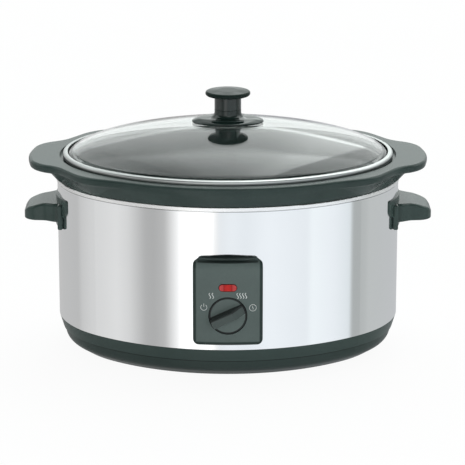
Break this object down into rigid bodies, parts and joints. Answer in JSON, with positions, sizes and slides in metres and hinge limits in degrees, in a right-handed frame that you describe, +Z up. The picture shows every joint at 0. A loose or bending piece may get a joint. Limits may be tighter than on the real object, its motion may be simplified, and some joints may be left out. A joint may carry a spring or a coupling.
{
  "type": "oval slow cooker",
  "caption": "Oval slow cooker: polished steel housing with a dial panel and side handles, a lift-out stoneware crock with ears, and a glass lid with a steel band and turned knob.",
  "frame": {"origin": "on the floor, under the middle of the whole object's box", "axes": "+Z up, -Y towards the control panel, +X along the oval's length to the right-hand handle"},
  "size_m": [0.4294, 0.3244, 0.2749],
  "materials": {
    "shell_steel": "polished",
    "well_sheet": "satin",
    "tray_plastic": "fine satin moulding",
    "trim_plastic": "semi-gloss moulding",
    "panel_plastic": "satin moulding",
    "stoneware": "dark gloss glaze",
    "lid_glass": "clear tempered",
    "band_steel": "polished",
    "lens_red": "clear red",
    "lamp_glass": "clear",
    "soft_rubber": "matt",
    "silicone": "translucent",
    "fixings": "zinc plated",
    "brass_insert": "turned",
    "heater_sheet": "dull",
    "electric_plastic": "moulded"
  },
  "bodies": {
    "housing": {"base_tray": "tray_plastic", "rubber_feet": "soft_rubber", "base_screws": "fixings", "well_pillars": "fixings", "heat_shield": "well_sheet", "outer_shell": "shell_steel", "heating_well": "well_sheet", "heater_band": "heater_sheet", "heater_bolts": "fixings", "thermostat": "electric_plastic", "thermal_fuse": "electric_plastic", "fuse_clip": "fixings", "terminal_block": "electric_plastic", "right_handle": "trim_plastic", "right_handle_backplate": "fixings", "right_handle_screws": "fixings", "left_handle": "trim_plastic", "left_handle_backplate": "fixings", "left_handle_screws": "fixings", "control_panel": "panel_plastic", "panel_screws": "fixings", "pilot_lens": "lens_red", "pilot_lamp": "lamp_glass", "switch_body": "electric_plastic", "switch_nut": "fixings", "cord_gland": "tray_plastic", "gland_nut": "tray_plastic"},
    "crock": {"crock": "stoneware"},
    "lid": {"lid_glass": "lid_glass", "lid_rim": "band_steel", "knob_skirt": "trim_plastic", "knob_cap": "trim_plastic", "knob_insert": "brass_insert", "knob_gasket": "silicone", "knob_seal": "silicone", "knob_washer": "fixings", "knob_bolt": "fixings"},
    "dial": {"control_dial": "trim_plastic", "switch_spindle": "fixings"}
  },
  "joints": [
    {"name": "crock_lift", "type": "slide", "parent": "housing", "child": "crock", "axis": [0, 0, 1], "range_m": [0, 0.15]},
    {"name": "lid_lift", "type": "slide", "parent": "crock", "child": "lid", "axis": [0, 0, 1], "range_m": [0, 0.08]},
    {"name": "dial_turn", "type": "hinge", "parent": "housing", "child": "dial", "pos_m": [0, -0.1518, 0.0769], "axis": [0, -1, 0], "range_deg": [0, 138]}
  ]
}
